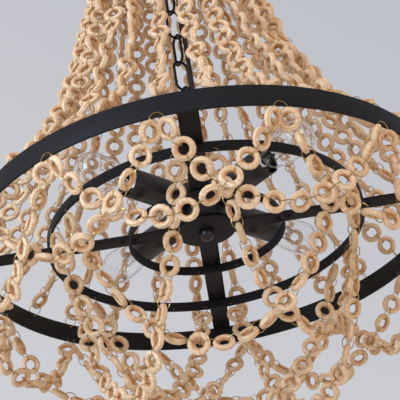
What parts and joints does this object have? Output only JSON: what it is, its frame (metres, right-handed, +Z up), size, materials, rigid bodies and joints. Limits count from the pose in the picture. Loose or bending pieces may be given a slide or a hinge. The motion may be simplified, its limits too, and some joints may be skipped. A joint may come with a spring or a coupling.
{
  "type": "chandelier",
  "caption": "Round beaded chandelier: black steel rings on crossed straps, chain hung, with clear bulbs in tube sockets and draped strands of linked wooden rings",
  "frame": {"origin": "centre of the upper face of the ceiling bracket, where it lies on the ceiling", "axes": "+Z up into the ceiling, X and Y along the two straps, with the ceiling bracket along X"},
  "size_m": [0.6068, 0.6056, 0.8926],
  "materials": {
    "black_metal": "black powder coat, fine satin",
    "natural_wood": "unvarnished pale wood, turned rings",
    "gold_wire": "gold coloured wire loops",
    "clear_glass": "clear blown glass",
    "nickel_cap": "bright screw cap",
    "phenolic": "black moulded lampholder",
    "zinc_steel": "zinc plated steel",
    "black_rubber": "black cord sheath and bushes",
    "orange_plastic": "moulded wire connectors with insulated leads"
  },
  "bodies": {
    "ceiling_mount": {"ceiling_bracket": "zinc_steel", "bracket_tube": "zinc_steel", "canopy_loop": "black_metal", "canopy_wire_connectors": "orange_plastic"},
    "canopy_shell": {"canopy": "black_metal", "cord_grommet": "black_rubber"},
    "collar": {"canopy_collar": "black_metal"},
    "upper_link": {"ceiling_link_upper": "black_metal"},
    "pendant": {"ceiling_link_lower": "black_metal", "crown_top_loop": "black_metal", "crown_ring": "black_metal", "crown_bar_x": "black_metal", "crown_bar_y": "black_metal", "crown_bottom_loop": "black_metal", "inner_chain": "black_metal", "hub_top_loop": "black_metal", "hub_body": "black_metal", "hub_tube": "zinc_steel", "hub_plate": "black_metal", "finial_ball": "black_metal", "cord_bushing": "black_rubber", "hub_wiring": "orange_plastic", "power_cord": "black_rubber", "outer_ring": "black_metal", "middle_ring": "black_metal", "hub_ring": "black_metal", "strap_x": "black_metal", "strap_y": "black_metal", "socket_cup_1": "black_metal", "socket_cup_2": "black_metal", "socket_cup_3": "black_metal", "socket_cup_4": "black_metal", "socket_tube_1": "zinc_steel", "socket_tube_2": "zinc_steel", "socket_tube_3": "zinc_steel", "socket_tube_4": "zinc_steel", "lampholder_1": "phenolic", "lampholder_2": "phenolic", "lampholder_3": "phenolic", "lampholder_4": "phenolic", "dome_strands_1": "natural_wood", "dome_strands_2": "natural_wood", "dome_strands_3": "natural_wood", "dome_strands_4": "natural_wood", "outer_garland_even": "natural_wood", "outer_garland_odd": "natural_wood", "middle_swag_1": "natural_wood", "middle_swag_2": "natural_wood", "middle_swag_3": "natural_wood", "middle_swag_4": "natural_wood", "middle_swag_5": "natural_wood", "middle_swag_6": "natural_wood"},
    "bulb_1": {"bulb_cap_1": "nickel_cap", "bulb_glass_1": "clear_glass"},
    "bulb_2": {"bulb_cap_2": "nickel_cap", "bulb_glass_2": "clear_glass"},
    "bulb_3": {"bulb_cap_3": "nickel_cap", "bulb_glass_3": "clear_glass"},
    "bulb_4": {"bulb_cap_4": "nickel_cap", "bulb_glass_4": "clear_glass"}
  },
  "joints": [
    {"name": "collar_slide", "type": "slide", "parent": "ceiling_mount", "child": "collar", "axis": [0, 0, -1], "range_m": [0, 0.022]},
    {"name": "canopy_slide", "type": "slide", "parent": "ceiling_mount", "child": "canopy_shell", "axis": [0, 0, -1], "range_m": [0, 0.022]},
    {"name": "chain_swing", "type": "hinge", "parent": "ceiling_mount", "child": "upper_link", "pos_m": [0, 0, -0.0587], "axis": [-0.5, 0.866, 0], "range_deg": [-15, 15]},
    {"name": "pendant_swing", "type": "hinge", "parent": "upper_link", "child": "pendant", "pos_m": [0, 0, -0.1028], "axis": [0.866, 0.5, 0], "range_deg": [-15, 15], "deforming": ["power_cord"]},
    {"name": "bulb_1_unscrew", "type": "slide", "parent": "pendant", "child": "bulb_1", "axis": [0.7071, 0.7071, 0], "range_m": [0, 0.018]},
    {"name": "bulb_2_unscrew", "type": "slide", "parent": "pendant", "child": "bulb_2", "axis": [-0.7071, 0.7071, 0], "range_m": [0, 0.018]},
    {"name": "bulb_3_unscrew", "type": "slide", "parent": "pendant", "child": "bulb_3", "axis": [-0.7071, -0.7071, 0], "range_m": [0, 0.018]},
    {"name": "bulb_4_unscrew", "type": "slide", "parent": "pendant", "child": "bulb_4", "axis": [0.7071, -0.7071, 0], "range_m": [0, 0.018]}
  ],
  "couplings": [
    {"joint": "canopy_slide", "follows": "collar_slide", "ratio": 1}
  ]
}
